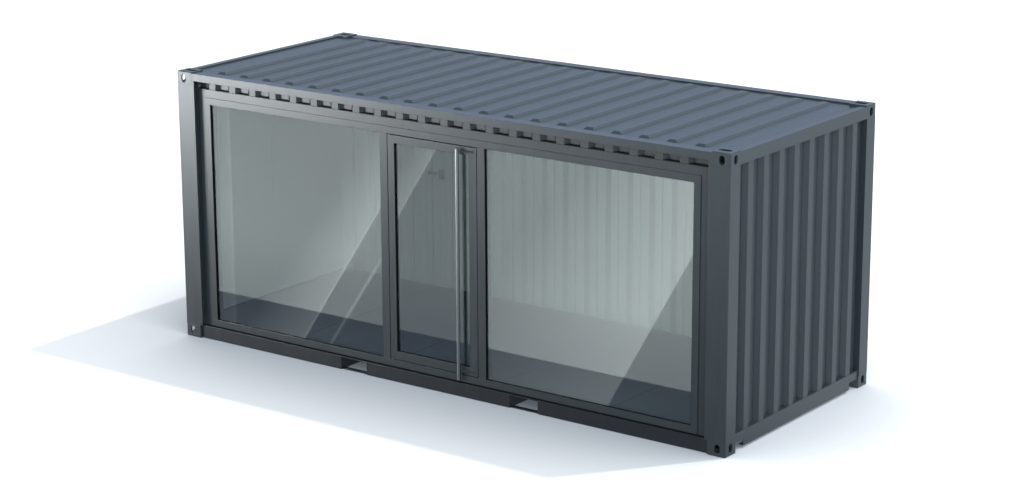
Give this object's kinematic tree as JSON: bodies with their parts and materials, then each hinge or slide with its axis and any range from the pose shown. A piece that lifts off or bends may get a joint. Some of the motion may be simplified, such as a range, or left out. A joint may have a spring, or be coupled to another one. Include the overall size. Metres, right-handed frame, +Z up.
{
  "type": "shipping container cabin",
  "caption": "Steel container turned into a cabin: corrugated walls and roof, a fully glazed long side with fixed panes and a hinged glass door with a long pull.",
  "frame": {"origin": "centre of the footprint, on the plane that the four lower corner castings stand on", "axes": "+X along the long side, towards the right end seen from the glazed front; +Y from the glazed front to the closed rear side; +Z up"},
  "size_m": [6.058, 2.438, 2.591],
  "materials": {
    "painted_steel": "satin anthracite paint",
    "frame_paint": "satin anthracite powder coat",
    "lining_board": "light grey painted board",
    "inner_sheet": "light grey paint inside",
    "floor_board": "grey sealed plywood",
    "glass": "clear float glass",
    "gasket": "matt black",
    "pull_steel": "brushed",
    "pivot_steel": "turned"
  },
  "bodies": {
    "root": {"bottom_castings": "painted_steel", "top_castings": "painted_steel", "front_left_post": "painted_steel", "front_right_post": "painted_steel", "rear_left_post": "painted_steel", "rear_right_post": "painted_steel", "front_bottom_rail": "painted_steel", "rear_bottom_rail": "painted_steel", "left_bottom_rail": "painted_steel", "right_bottom_rail": "painted_steel", "front_top_rail": "painted_steel", "rear_top_rail": "painted_steel", "left_top_rail": "painted_steel", "right_top_rail": "painted_steel", "cross_members": "painted_steel", "fork_pockets": "painted_steel", "floor_deck": "floor_board", "roof_panel": "painted_steel", "rear_wall": "painted_steel", "left_wall": "painted_steel", "right_wall": "painted_steel", "front_wall_strip": "painted_steel", "left_lining": "lining_board", "right_lining": "lining_board", "corner_casings": "inner_sheet", "frame_head": "frame_paint", "frame_sill": "frame_paint", "frame_left_jamb": "frame_paint", "frame_right_jamb": "frame_paint", "left_mullion": "frame_paint", "right_mullion": "frame_paint", "front_ledge": "gasket", "left_glass": "glass", "right_glass": "glass", "left_beads": "gasket", "right_beads": "gasket", "rear_wall_bracket": "pivot_steel"},
    "door": {"door_hinge_stile": "frame_paint", "door_lock_stile": "frame_paint", "door_bottom_rail": "frame_paint", "door_top_rail": "frame_paint", "door_glass": "glass", "door_beads": "gasket", "door_pivots": "pivot_steel", "door_pull": "pull_steel"}
  },
  "joints": [
    {"name": "door_hinge", "type": "hinge", "parent": "root", "child": "door", "pos_m": [-0.538, -1.159, 1.2455], "axis": [0, 0, -1], "range_deg": [0, 100]}
  ]
}
